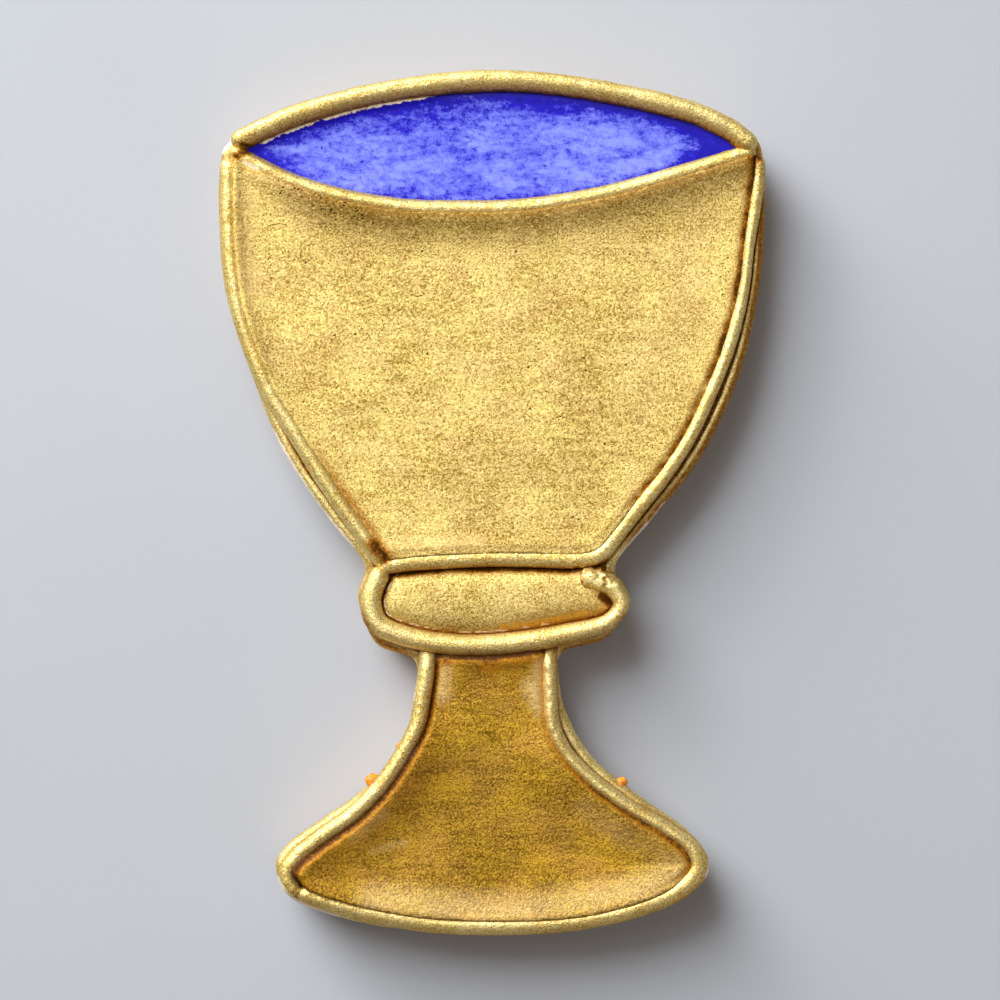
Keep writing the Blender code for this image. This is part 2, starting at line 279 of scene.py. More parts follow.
def line_mesh(
    route, half_width, height, foot, seed, closed=False, lean=0.0, swell=None, sink=None, rough=None
):
    """A piped line: a round-topped section swept along the route, with a hand's small unevenness.

    Returns vertices, faces, and for each vertex how far up its section it is, which side of it
    (1 = left), and how much that side turns away from the light, for its painted shade.
    """
    points = np.array([tuple(p) for p in smooth_route(route, LINE_STATION, closed)])
    count = len(points)
    steps = np.hypot(*np.diff(points, axis=0).T)
    along = np.concatenate([[0], np.cumsum(steps)])
    total = along[-1]
    here = np.column_stack([along, np.full(count, seed * 3.1)])
    fade = 1.0
    if closed:
        fade = np.clip(np.minimum(along, total - along) / 4, 0, 1)

    def wander(size, part):
        return ripple(here, size, seed + part) * fade

    if closed:
        tangent = np.roll(points, -1, axis=0) - np.roll(points, 1, axis=0)
    else:
        tangent = np.gradient(points, axis=0)
    tangent /= np.hypot(*tangent.T)[:, None]
    normal = np.column_stack([-tangent[:, 1], tangent[:, 0]])
    points = points + normal * (0.08 * wander(9, 1) + 0.03 * wander(1.8, 2))[:, None]
    width = half_width * (1 + 0.05 * wander(6, 3) + 0.025 * wander(1.4, 4))
    tall = height * (1 + 0.03 * wander(5, 5) + 0.02 * wander(1.2, 6))
    if swell is not None:
        width = width * swell(points)
    if sink is not None:
        tall = tall * sink(points)
    if not closed:
        to_end = np.minimum(along, total - along)
        cap = np.sqrt(np.clip(1 - (1 - np.clip(to_end / half_width, 0, 1)) ** 2, 0.01, 1))
        width, tall = width * cap, tall * (0.35 + 0.65 * cap)

    angles = np.linspace(math.pi - FOOT_ANGLE, FOOT_ANGLE, LINE_SIDES)
    up = (np.sin(angles) - math.sin(FOOT_ANGLE)) / (1 - math.sin(FOOT_ANGLE))
    up = np.concatenate([up, [-0.04, -0.04]])
    rise = np.where(up > 0, np.abs(up) ** 0.75, up)
    level_part = np.concatenate([np.cos(angles), 0.9 * np.cos(angles[[-1, 0]])])
    crest_part = np.concatenate([np.clip(np.sin(angles), 0, 1) ** 2, [0, 0]])
    across = level_part + lean * crest_part
    sides = len(up)
    ring = np.zeros((count, sides, 3))
    ring[:, :, 0] = points[:, 0:1] + normal[:, 0:1] * across[None] * width[:, None]
    ring[:, :, 1] = points[:, 1:2] + normal[:, 1:2] * across[None] * width[:, None]
    ring[:, :, 2] = foot + rise[None] * tall[:, None]
    flat = ring.reshape(-1, 3)
    roughness = 1.0 if rough is None else 1.0 + rough(flat[:, :2])
    lumps = 0.03 * ripple(flat, 1.3, seed + 7) + roughness * 0.022 * ripple(flat, 0.5, seed + 8)
    lumps = lumps + (roughness - 1) * 0.05 * ripple(flat, 0.8, seed + 9)
    outward = np.zeros_like(ring)
    outward[:, :, 0] = normal[:, 0:1] * across[None]
    outward[:, :, 1] = normal[:, 1:2] * across[None]
    outward[:, :, 2] = np.clip(up, 0, 1)[None] * 0.9
    flat = flat + outward.reshape(-1, 3) * lumps[:, None]

    faces = []
    for i in range(count if closed else count - 1):
        a, b = i * sides, ((i + 1) % count) * sides
        for j in range(sides):
            k = (j + 1) % sides
            faces.append((a + j, a + k, b + k, b + j))
    if not closed:
        faces.append(tuple(range(sides)))
        last = (count - 1) * sides
        faces.append(tuple(last + j for j in reversed(range(sides))))
    # how far each side turns away from the light, which sets the painted shade on its flank
    turned_from_light = (normal @ AWAY_FROM_LIGHT)[:, None] * np.clip(2 * across, -1, 1)[None]
    return flat, faces, np.tile(up, count), np.tile(across, count), turned_from_light.ravel()


def hex_grid(outline, spacing):
    """Points of a hexagonal grid inside an outline and clear of its edge."""
    low, high = outline.min(0), outline.max(0)
    rows = np.arange(low[1], high[1], spacing * math.sqrt(3) / 2)
    columns = np.arange(low[0], high[0], spacing)
    grid = [
        (x + (spacing / 2 if k % 2 else 0), y) for k, y in enumerate(rows) for x in columns
    ]
    grid = np.array(grid)
    grid = grid[inside(outline, grid)]
    return grid[distance_to(outline, grid, closed=True) > spacing * 0.5]


def filled(outline):
    """Triangles over a closed flat outline."""
    return tessellate_polygon([[Vector((x, y, 0)) for x, y in outline]])


PIT_DEPTH = 0.22
# Rings of points round each pit: radius as a share of the pit's own, and number of points
PIT_RINGS = ((0.5, 6), (1.0, 9), (1.6, 11))


def flood_mesh(outline, spacing, pits=()):
    """A triangulated sheet inside the outline.

    Returns its places, its triangles, each place's depth in a pit, and how many places are on its
    edge. Those come first.
    """
    edge = respaced(outline, spacing * 0.8)
    grid = hex_grid(edge, spacing)
    rings = []
    for x, y, radius in pits:
        grid = grid[np.hypot(grid[:, 0] - x, grid[:, 1] - y) > radius * 2.1]
        rings.append((x, y))
        for share, number in PIT_RINGS:
            for k in range(number):
                angle = 2 * math.pi * (k + share) / number
                reach = radius * share
                rings.append((x + reach * math.cos(angle), y + reach * math.sin(angle)))
    places = np.vstack([edge, grid, np.array(rings).reshape(-1, 2)])
    loop = [list(range(len(edge)))]
    made = delaunay_2d_cdt([Vector(p) for p in places], [], loop, 1, 1e-7)
    spots = np.array([tuple(p) for p in made[0]])
    sunk = np.zeros(len(spots))
    for x, y, radius in pits:
        share = np.hypot(spots[:, 0] - x, spots[:, 1] - y) / radius
        sunk = np.maximum(sunk, np.clip(1 - share**2, 0, 1))
    return spots, [tuple(f) for f in made[2]], sunk, len(edge)


def closed_flood(name, outline, spacing, height, foot, pits=(), marks=None):
    """A flood as a closed body: its top sheet, a wall round the edge and a flat underside."""
    spots, triangles, sunk, rim = flood_mesh(outline, spacing, pits)
    top = height(spots) - PIT_DEPTH * sunk
    total = len(spots)
    vertices = np.vstack([
        np.column_stack([spots, top]),
        np.column_stack([spots[:rim], np.full(rim, foot)]),
    ])
    faces = list(triangles)
    for i in range(rim):
        k = (i + 1) % rim
        faces.append((i, total + i, total + k, k))
    faces += [tuple(total + v for v in f) for f in filled(spots[:rim])]
    found = {}
    for key, values in (marks(spots) if marks else {}).items():
        found[key] = np.concatenate([values, values[:rim]])
    found["pit"] = np.concatenate([sunk, np.zeros(rim)])
    return make_object(name, vertices, faces, found)


# ---------------------------------------------------------------- materials

def feed(tree, socket, value):
    """Gives a socket a number, a colour, or another node's output."""
    if isinstance(value, bpy.types.NodeSocket):
        tree.links.new(value, socket)
    elif socket.type == "RGBA":
        socket.default_value = (*value, 1)
    else:
        socket.default_value = value


def add(tree, kind, inputs=None, **settings):
    """A node with its settings, and the value of each named input."""
    made = tree.nodes.new(kind)
    for key, value in settings.items():
        setattr(made, key, value)
    for key, value in (inputs or {}).items():
        feed(tree, made.inputs[key], value)
    return made


def new_material(name):
    made = bpy.data.materials.new(name)
    made.use_nodes = True
    tree = made.node_tree
    return made, tree, tree.nodes["Principled BSDF"]


def place(tree, stretch=(1, 1, 1)):
    """Position on the cookie in millimetres, stretched along each axis."""
    scale = tuple(s / MM for s in stretch)
    coords = add(tree, "ShaderNodeTexCoord")
    return add(
        tree, "ShaderNodeMapping", {"Vector": coords.outputs["Object"], "Scale": scale}
    ).outputs["Vector"]


def speckle(tree, per_mm, detail=2.0, roughness=0.5, stretch=(1, 1, 1), distortion=0.0):
    """Noise with about `per_mm` features in a millimetre."""
    return add(
        tree,
        "ShaderNodeTexNoise",
        {
            "Vector": place(tree, stretch), "Scale": per_mm, "Detail": detail,
            "Roughness": roughness, "Distortion": distortion,
        },
    ).outputs["Fac"]


def level(tree, value, low, high, to_low=0.0, to_high=1.0):
    """The value's range from low to high, mapped to the other range and held inside it."""
    return add(
        tree,
        "ShaderNodeMapRange",
        {"Value": value, "From Min": low, "From Max": high, "To Min": to_low, "To Max": to_high},
        clamp=True,
    ).outputs["Result"]


def sums(tree, operation, a, b):
    made = add(tree, "ShaderNodeMath", operation=operation)
    for socket, value in zip(made.inputs, (a, b)):
        feed(tree, socket, value)
    return made.outputs["Value"]


def blend(tree, share, a, b, mode="MIX"):
    """Colour b laid over colour a by a share; the node keeps its colour sockets at 6, 7 and 2."""
    made = add(tree, "ShaderNodeMix", data_type="RGBA", blend_type=mode)
    for number, value in ((0, share), (6, a), (7, b)):
        feed(tree, made.inputs[number], value)
    return made.outputs[2]


def mark(tree, name):
    """A mark that the mesh carries at each vertex."""
    return add(tree, "ShaderNodeAttribute", attribute_name=name).outputs["Fac"]


def bumped(tree, *layers):
    """Bumps laid over each other, each a height and its depth in millimetres."""
    normal = None
    for height, depth in layers:
        made = add(tree, "ShaderNodeBump", {"Height": height, "Strength": 1.0, "Distance": depth * MM})
        if normal is not None:
            tree.links.new(normal, made.inputs["Normal"])
        normal = made.outputs["Normal"]
    return normal


CREAM = (0.90, 0.80, 0.64)
AMBER_PAINT_AND_SHADE = (0.41, 0.172, 0.009)  # brown paint pooled a little in a crease, with painted shade there
MAROON_PAINT_AND_SHADE = (0.095, 0.030, 0.004)  # and pooled deep, with deep painted shade
ORANGE = (0.72, 0.37, 0.03)
SHADE_TINT = (0.48, 0.40, 0.27)  # painted shade: dims the gold where it turns away from the light or lies under a line
THIN_PAINT_AND_SHEEN = (0.95, 0.76, 0.38)  # where the gold is thin and the icing shows through, and painted sheen on surfaces turned to the light
FLECK = (0.14, 0.08, 0.006)
PIT_SHADE = (0.03, 0.012, 0.004)


def weighted(tree, *parts):
    """The sum of several values, each times its weight."""
    total = 0.0
    for value, weight in parts:
        total = sums(tree, "ADD", total, sums(tree, "MULTIPLY", value, weight))
    return total


def gold_material(name, pale, blush, deep, roughness, streak=0.5, flecked=0.5, coat=0.08):
    """Gold lustre paint on icing: mica grains, brush streaks, brown creases with painted shade,
    painted sheen and bare icing.

    The gold drifts between pale and blush over broad patches, and each grain towards deep.
    """
    made, tree, shader = new_material(name)
    grain = speckle(tree, 3.4, 2.0, 0.6)
    fine = speckle(tree, 5.8, 2.0, 0.65)
    brush = speckle(tree, 0.8, 3.0, 0.6, stretch=(0.3, 1.6, 1.0), distortion=0.7)
    cloud = speckle(tree, 0.13, 3.0, 0.55)
    mixed = weighted(
        tree,
        (level(tree, grain, 0.34, 0.66), 0.42),
        (level(tree, fine, 0.36, 0.64), 0.3),
        (level(tree, brush, 0.35, 0.65), 0.26 * streak),
        (level(tree, cloud, 0.38, 0.62), 0.2),
    )
    drift = blend(tree, level(tree, speckle(tree, 0.2, 3.0, 0.55), 0.4, 0.62), pale, blush)
    colour = blend(tree, level(tree, mixed, 0.12, 0.76), deep, drift)
    flecks = level(tree, fine, 0.43, 0.34, 0.0, flecked)
    colour = blend(tree, flecks, colour, FLECK)
    ragged = speckle(tree, 2.4, 3.0, 0.65)
    uneven = sums(tree, "MULTIPLY", sums(tree, "SUBTRACT", ragged, 0.5), 2.3)

    def patch(key, low, high):
        """Where a mark is strong enough to cover the gold, with a ragged border."""
        marked = mark(tree, key)
        moved = sums(tree, "ADD", marked, sums(tree, "MULTIPLY", uneven, marked))
        return level(tree, moved, low, high)

    # thin paint and painted sheen lighten the gold
    colour = blend(tree, patch("thin_and_sheen", 0.1, 1.2), colour, THIN_PAINT_AND_SHEEN)
    # painted shade dims the gold
    colour = blend(tree, patch("painted_shade", 0.0, 1.0), colour, SHADE_TINT, mode="MULTIPLY")
    # brown paint with painted shade in the creases
    crease = patch("crease", 0.03, 1.0)
    colour = blend(tree, level(tree, crease, 0.0, 0.5), colour, AMBER_PAINT_AND_SHADE)
    colour = blend(tree, level(tree, crease, 0.42, 0.95), colour, MAROON_PAINT_AND_SHADE)
    pooled = patch("pooled", 0.25, 0.8)
    colour = blend(tree, pooled, colour, ORANGE)
    bare = patch("bare", 0.35, 0.6)
    colour = blend(tree, bare, colour, CREAM)
    colour = blend(tree, level(tree, mark(tree, "pit"), 0.2, 0.8), colour, PIT_SHADE)
    tree.links.new(colour, shader.inputs["Base Color"])
    painted = sums(tree, "SUBTRACT", 1.0, bare)
    painted = sums(tree, "SUBTRACT", painted, sums(tree, "MULTIPLY", pooled, 0.4))
    dulled = sums(tree, "SUBTRACT", 0.92, sums(tree, "MULTIPLY", crease, 0.3))
    tree.links.new(sums(tree, "MULTIPLY", painted, dulled), shader.inputs["Metallic"])
    shine = level(tree, grain, 0.3, 0.7, roughness + 0.08, roughness - 0.08)
    tree.links.new(shine, shader.inputs["Roughness"])
    shader.inputs["Specular Tint"].default_value = (1.0, 0.78, 0.30, 1)
    shader.inputs["Coat Weight"].default_value = coat
    shader.inputs["Coat Roughness"].default_value = 0.3
    normal = bumped(tree, (brush, 0.03 * streak), (grain, 0.075), (fine, 0.035))
    tree.links.new(normal, shader.inputs["Normal"])
    return made


def wine_material():
    """Blue food colour brushed on white icing: pale streaks, and dark grains where it pooled."""
    made, tree, shader = new_material("wine_blue_icing")
    wash = speckle(tree, 0.3, 4.0, 0.62, stretch=(0.55, 1.7, 1), distortion=0.6)
    mottle = speckle(tree, 1.3, 3.0, 0.7, stretch=(0.8, 1.15, 1))
    grain = speckle(tree, 3.6, 2.0, 0.7)
    # deeper colour at the tips and far edge: pooled dye, with painted shadow of the rim's back line
    depth = mark(tree, "deep")
    mixed = weighted(tree, (wash, 1.3), (mottle, 1.0), (grain, 0.4), (depth, -0.6))
    colour = blend(tree, level(tree, mixed, 0.95, 1.55), (0.012, 0.006, 0.60), (0.23, 0.29, 1.0))
    clotted = weighted(tree, (mottle, 1.0), (grain, 1.1), (wash, 0.35), (depth, -0.42))
    colour = blend(tree, level(tree, clotted, 1.06, 0.86, 0.0, 0.8), colour, (0.006, 0.002, 0.36))
    ragged = weighted(tree, (speckle(tree, 2.8, 3.0, 0.7), 2.4), (-1.2, 1.0))
    marked = mark(tree, "bare")
    bare = level(tree, sums(tree, "ADD", marked, sums(tree, "MULTIPLY", ragged, marked)), 0.45, 0.6)
    colour = blend(tree, bare, colour, blend(tree, level(tree, mottle, 0.3, 0.5), ORANGE, CREAM))
    tree.links.new(colour, shader.inputs["Base Color"])
    tree.links.new(level(tree, mottle, 0.3, 0.7, 0.42, 0.56), shader.inputs["Roughness"])
    shader.inputs["Specular IOR Level"].default_value = 0.2
    tree.links.new(bumped(tree, (mottle, 0.02), (grain, 0.02)), shader.inputs["Normal"])
    return made


def biscuit_material():
    made, tree, shader = new_material("baked_cookie")
    patches = speckle(tree, 0.25, 4.0, 0.6)
    crumb = speckle(tree, 1.6, 4.0, 0.7)
    fine = speckle(tree, 6.0, 2.0, 0.6)
    colour = blend(tree, level(tree, patches, 0.3, 0.7), (0.66, 0.40, 0.17), (0.78, 0.54, 0.28))
    colour = blend(tree, level(tree, crumb, 0.52, 0.75), colour, (0.42, 0.20, 0.06))
    colour = blend(tree, mark(tree, "browned"), colour, (0.30, 0.125, 0.035))
    tree.links.new(colour, shader.inputs["Base Color"])
    shader.inputs["Roughness"].default_value = 0.85
    tree.links.new(bumped(tree, (crumb, 0.22), (fine, 0.05)), shader.inputs["Normal"])
    return made


def crumb_material():
    made, tree, shader = new_material("orange_paint")
    lumps = speckle(tree, 3.0, 3.0, 0.6)
    colour = blend(tree, level(tree, lumps, 0.35, 0.65), (0.70, 0.20, 0.006), (0.86, 0.36, 0.02))
    tree.links.new(colour, shader.inputs["Base Color"])
    shader.inputs["Roughness"].default_value = 0.45
    tree.links.new(bumped(tree, (lumps, 0.1)), shader.inputs["Normal"])
    return made


def floor_material():
    made, tree, shader = new_material("pale_floor")
    soft = speckle(tree, 0.02, 2.0, 0.5)
    colour = blend(tree, soft, (0.41, 0.45, 0.52), (0.45, 0.49, 0.56))
    tree.links.new(colour, shader.inputs["Base Color"])
    shader.inputs["Roughness"].default_value = 0.8
    return made


# ---------------------------------------------------------------- pieces

GOLD = ((0.96, 0.815, 0.33), (0.95, 0.78, 0.35), (0.40, 0.25, 0.025))
# the lines' gold is paler than the floods', partly as painted highlight on the raised lines
LINE_GOLD_WITH_HIGHLIGHT = ((1.0, 0.92, 0.46), (1.0, 0.88, 0.44), (0.56, 0.34, 0.03))
OCHRE = ((0.69, 0.435, 0.045), (0.64, 0.38, 0.065), (0.10, 0.04, 0.001))
line_gold = gold_material("gold_lustre_line", *LINE_GOLD_WITH_HIGHLIGHT, 0.56, streak=0.1, flecked=0.6, coat=0.2)
bowl_gold = gold_material("gold_lustre_bowl", *GOLD, 0.74, streak=0.6, flecked=0.85)
knop_gold = gold_material("gold_lustre_knop", *GOLD, 0.68, streak=0.2, flecked=0.7)
foot_gold = gold_material("ochre_lustre", *OCHRE, 0.64, streak=0.7, flecked=0.95)
wine_blue = wine_material()
biscuit = biscuit_material()
paint_orange = crumb_material()

# Strokes, each a route, its reach to either side and its strength.
# Where the brush missed the white icing
BARE = [
    ([(-31.8, 41.8), (-31.2, 42.7)], 0.6, 1.1),
    ([(-26.0, 8.6), (-21.0, 0.4), (-16.4, -5.3)], 0.35, 0.8),
    ([(18.4, -2.4), (15.2, -6.2)], 0.35, 0.65),
    ([(20.4, 0.2), (18.4, -2.4)], 0.25, 0.45),
    ([(-9.3, -19.0), (-9.3, -23.0)], 0.3, 0.9),
    ([(-25.4, -44.6), (-23.4, -47.1), (-18.6, -49.0)], 0.55, 1.2),
    ([(25.7, -42.2), (25.2, -44.2)], 0.3, 0.8),
    ([(-29.2, 40.1), (-27.4, 39.2)], 0.32, 0.62),
]
# Where orange paint pooled
POOLED = [
    ([(-30.0, 39.8), (-28.9, 39.1), (-27.1, 38.6)], 0.16, 0.7),
    ([(1.2, -14.6), (6.5, -13.9), (11.0, -12.9)], 0.6, 0.62),
    ([(25.4, -41.0), (24.8, -44.4), (21.0, -47.1)], 0.3, 0.5),
]
# Where the gold lies thin and pale, and where painted sheen brightens surfaces turned to the light
THIN_AND_SHEEN_STROKES = [
    ([(-28.2, 36.5), (-28.8, 31.0), (-28.0, 25.0)], 1.5, 0.4),
    ([(-28.6, 39.0), (-22.0, 36.6)], 0.5, 0.6),
    ([(-12.0, -4.9), (-1.5, -4.5)], 1.0, 0.5),
    ([(24.0, 30.0), (22.5, 18.0)], 5.0, 0.2),
    ([(10.4, -8.3), (12.6, -9.4)], 0.9, 0.5),
    ([(5.8, -18.6), (6.0, -24.0), (4.6, -21.5)], 1.3, 0.7),
    ([(-5.6, -18.6), (-5.9, -22.6)], 1.2, 0.6),
    ([(-16.5, -39.6), (-12.5, -36.4)], 0.8, 0.35),
    ([(-14.2, -41.0), (-10.2, -39.9)], 0.6, 0.35),
    ([(-14.0, -46.6), (2.0, -47.8), (16.0, -45.6), (21.5, -43.2)], 2.4, 0.5),
    ([(11.0, -36.0), (15.0, -38.8), (20.0, -41.4)], 2.2, 0.22),
]
# Painted shade: where the gold lies under the knop's line or turns away from the light
SHADED_STROKES = [
    ([(-2.5, -18.9), (3.5, -18.8)], 1.6, 0.8),
    ([(-18.5, -42.0), (-12.0, -36.5), (-7.0, -30.0)], 3.6, 0.6),
    ([(-6.0, -44.0), (6.0, -44.4)], 1.8, 0.25),
    ([(13.5, -7.6), (15.6, -10.0)], 0.7, 0.6),
]
# Where brown paint and painted shade lie outside the creases too
SMEARED = [
    ([(-13.9, -4.9), (-12.6, -6.3)], 0.8, 1.0),
    ([(-30.0, 40.9), (-28.8, 41.3)], 0.5, 0.9),
    ([(31.3, 40.6), (30.7, 40.2)], 0.5, 1.0),
    ([(-29.4, 42.1), (-28.3, 41.9)], 0.3, 1.1),
    ([(-15.4, -13.0), (-13.6, -16.0), (-9.6, -18.2)], 0.5, 0.5),
    ([(8.4, -17.4), (13.4, -15.9), (16.0, -13.0)], 0.5, 0.5),
    ([(12.9, -11.0), (13.6, -11.7)], 0.45, 1.3),
]
# Where the line's icing is rough or torn
ROUGHENED = [
    ([(27.5, 42.6), (30.9, 41.6), (31.4, 39.5)], 1.6, 2.2),
    ([(10.0, -8.6), (13.2, -9.2)], 1.3, 8.0),
    ([(-23.0, -45.4), (-21.0, -46.2)], 1.0, 1.5),
    ([(6.6, -18.5), (7.1, -27.0)], 1.5, 1.6),
]


def strokes(listed, places):
    """How strongly each place is touched by the listed strokes."""
    touched = np.zeros(len(places))
    for route, reach, strength in listed:
        path = smooth_route(route, 0.5) if len(route) > 2 else [Vector(p) for p in route]
        touched = np.maximum(touched, strength * np.exp(-((distance_to(path, places) / reach) ** 2)))
    return touched


def paint_marks(places, crease, painted_shade=0.0):
    """The marks that the gold paint reads, at each place."""
    flat = places[:, :2]
    return {
        "crease": np.clip(np.maximum(crease, strokes(SMEARED, flat)), 0, 1.2),
        "bare": strokes(BARE, flat),
        "pooled": strokes(POOLED, flat),
        "thin_and_sheen": strokes(THIN_AND_SHEEN_STROKES, flat),
        "painted_shade": np.maximum(painted_shade, strokes(SHADED_STROKES, flat)),
    }


def right_bowl_swell(places):
    """The line is thinner down the bowl's right side than along its base."""
    return np.interp(places[:, 1], (-6.0, 3.0, 20.0, 28.0, 36.0), (1.1, 0.86, 0.8, 0.68, 0.76))


def knop_swell(places):
    """The line is thinner round the knop's right end, up to its torn tail."""
    x, y = places[:, 0], places[:, 1]
    return 1 - 0.2 * np.clip((x - 9.0) / 4, 0, 1) * np.clip((-10.0 - y) / 1.5, 0, 1)


def right_foot_swell(places):
    """The line thins where it climbs the foot's right side."""
    return 1 - 0.22 * np.clip((places[:, 1] + 42.0) / 3, 0, 1)


def below_knop(places):
    """The stem's lines run in low under the knop's line."""
    return 1 - 0.5 * np.clip((places[:, 1] + 19.4) / 2.2, 0, 1) ** 1.5


Line = namedtuple(
    "Line", "route half_width seed lean left_crease right_crease climb swell sink",
    defaults=(0.55, None, None),
)
# Each line's route, half width, seed, lean of its crest to the left, the strength of the brown paint
# and painted shade in its left and right creases, how far up its flanks they climb, and the rules by
# which its width swells and its height sinks
LINES = {
    "rim_back_bead": Line(RIM_BACK, 1.3, 1, 0.2, 0.2, 0.9, 0.9),
    "rim_front_bead": Line(RIM_FRONT, 1.0, 2, 0.0, 0.4, 0.6),
    "bowl_left_bead": Line(BOWL_LEFT, 1.05, 3, 0.0, 0.0, 0.3),
    "bowl_right_and_base_bead": Line(
        BOWL_RIGHT_AND_BASE, 1.0, 4, 0.0, 0.95, 0.0, 0.55, right_bowl_swell
    ),
    "knop_bead": Line(KNOP, 1.27, 5, 0.0, 0.6, 0.9, 0.6, knop_swell),
    "foot_left_bead": Line(FOOT_LEFT, 1.0, 6, 0.0, 1.0, 0.3, 0.55, None, below_knop),
    "foot_base_and_right_bead": Line(
        FOOT_BASE_AND_RIGHT, 1.1, 7, 0.1, 0.7, 0.8, 0.55, right_foot_swell, below_knop
    ),
}

for name, line in LINES.items():
    vertices, faces, up, across, turned_from_light = line_mesh(
        line.route, line.half_width, top_of(name) - LINE_FOOT, LINE_FOOT, line.seed,
        lean=line.lean, swell=line.swell, sink=line.sink,
        rough=lambda places: strokes(ROUGHENED, places),
    )
    # Brown paint at the line's foot with painted shade: deeper on the side away from the light, on
    # flanks turned from it, and in torn icing
    depth = np.where(across > 0, line.left_crease, line.right_crease)
    crease = depth * np.clip(1.15 - up / line.climb, 0, 1)
    flank = np.clip((0.97 - up) / 0.55, 0, 1)
    crease = np.maximum(crease, flank * (0.05 + 0.42 * np.clip(turned_from_light, 0, 1)))
    torn = np.clip(strokes(ROUGHENED, vertices[:, :2]) / 8, 0, 1) ** 2
    crease = crease + torn * np.clip(4 * ripple(vertices, 0.6, 81) - 0.7, 0, 0.7)
    piece = make_object(name + "_icing", vertices, faces, paint_marks(vertices, crease))
    stand_for(piece, name, line_gold)


TUCK = 0.45  # how far a flood runs in under its lines
FLOOD_SPACING = 0.26  # of the points in the wide floods


def side(name, backwards=False, first=0, last=None, reach=2.5):
    """One side of a flood: a line's left flank, tucked in, and run on past both of its ends."""
    line = LINES[name]
    path = smooth_route(line.route[first:last], 0.5)
    if backwards:
        path = path[::-1]
    return lengthened(left_offset(path, line.half_width - TUCK), reach)


def gap_from(name, last=None):
    """A rule for how far places are from a line's flank, up to its point `last`."""
    line = LINES[name]
    path = smooth_route(line.route[:last], 0.6)
    if line.swell:
        return lambda places: distance_to(path, places) - line.half_width * line.swell(places)
    return lambda places: distance_to(path, places) - line.half_width


def near_side(gap, rise, reach, groove, width):
    """What a line does to the flood beside it: icing climbs it, and a groove follows its foot."""
    away = np.clip(gap, 0, None)
    return rise * np.exp(-away / reach) - groove * np.exp(-((away / width) ** 2))


def edge_mark(gap, reach):
    """1 at a line's flank, fading to 0 over about `reach`."""
    return np.exp(-((np.clip(gap, 0, None) / reach) ** 2))


# wine
wine_outline = enclosed([side("rim_front_bead"), side("rim_back_bead", backwards=True)])
rim_back_gap, rim_front_gap = gap_from("rim_back_bead"), gap_from("rim_front_bead")


def wine_height(places):
    back, front = rim_back_gap(places), rim_front_gap(places)
    return (
        WINE_LEVEL
        + near_side(back, 0.12, 1.2, 0.1, 0.3)
        + 0.3 * np.clip((-5.5 - places[:, 0]) / 3, 0, 1) * edge_mark(back - 0.1, 0.35)
        + near_side(front, 0.12, 1.0, 0.05, 0.3)
        + 0.03 * ripple(places, 3.0, 21)
        + 0.012 * ripple(places, 0.8, 22)
    )


def wine_marks(places):
    """The colour is deepest in the tips and along the far edge, where it also holds a painted shadow
    of the rim's back line; it misses the icing at the left.
    """
    x, y = places[:, 0], places[:, 1]
    back, front = rim_back_gap(places), rim_front_gap(places)
    far_reach = 1.0 + 1.4 * np.clip(1 - np.abs(x + 2) / 14, 0, 1)
    far_dye_and_shadow = np.exp(-np.clip(back - 0.3, 0, None) / far_reach)
    near = 0.4 * np.exp(-np.clip(front, 0, None) / 0.6)
    left = 0.9 * np.clip((-21.5 - x) / 5.0, 0, 1) * np.clip((41.5 - y) / 3, 0, 1)
    right = 1.2 * np.clip((x - 20.5) / 7.0, 0, 1)
    deep = np.clip(far_dye_and_shadow + near + 0.6 * left + right, 0, 1.2)
    missed = np.clip((-5.5 - x) / 3, 0, 1) * np.clip((x + 28.5) / 2, 0, 1) * edge_mark(back, 0.38)
    missed *= np.clip(1.0 + 1.2 * ripple(places, 0.7, 23), 0, 1)
    return {"deep": deep, "bare": missed}


wine = closed_flood(
    "wine_icing", wine_outline, FLOOD_SPACING, wine_height, LINE_FOOT, marks=wine_marks
)
stand_for(wine, "wine_flood", wine_blue)

# bowl
bowl_outline = enclosed([
    side("bowl_left_bead"),
    side("bowl_right_and_base_bead", backwards=True),
    side("rim_front_bead", backwards=True),
])
bowl_left_gap = gap_from("bowl_left_bead")
bowl_right_gap = gap_from("bowl_right_and_base_bead")


def bowl_height(places):
    x, y = places[:, 0], places[:, 1]
    front, left, right = rim_front_gap(places), bowl_left_gap(places), bowl_right_gap(places)
    base_share = np.clip((2.0 - y) / 4.0, 0, 1)
    left_end = np.clip((-27.0 - x) / 3.0, 0, 1)
    left_climb = 0.35 + 0.3 * np.clip((y - 8) / 10, 0, 1)
    return (
        BOWL_LEVEL
        + (1 - 0.7 * left_end) * near_side(front, 0.72, 2.2, 0.12, 0.3)
        + near_side(left, left_climb, 1.1, 0.0, 0.35)
        - 0.25 * edge_mark(left, 0.5) * np.clip((8 - y) / 6, 0, 1)
        + (1 - base_share) * near_side(right, 0.15, 2.0, 0.25, 0.35)
        + base_share * near_side(right, 0.4, 1.8, 0.15, 0.3)
        + 0.05 * ripple(places, 7.0, 31)
        + 0.012 * ripple(np.column_stack([x * 0.3, y]), 0.9, 32)
        + 0.005 * ripple(places, 0.5, 33)
    )


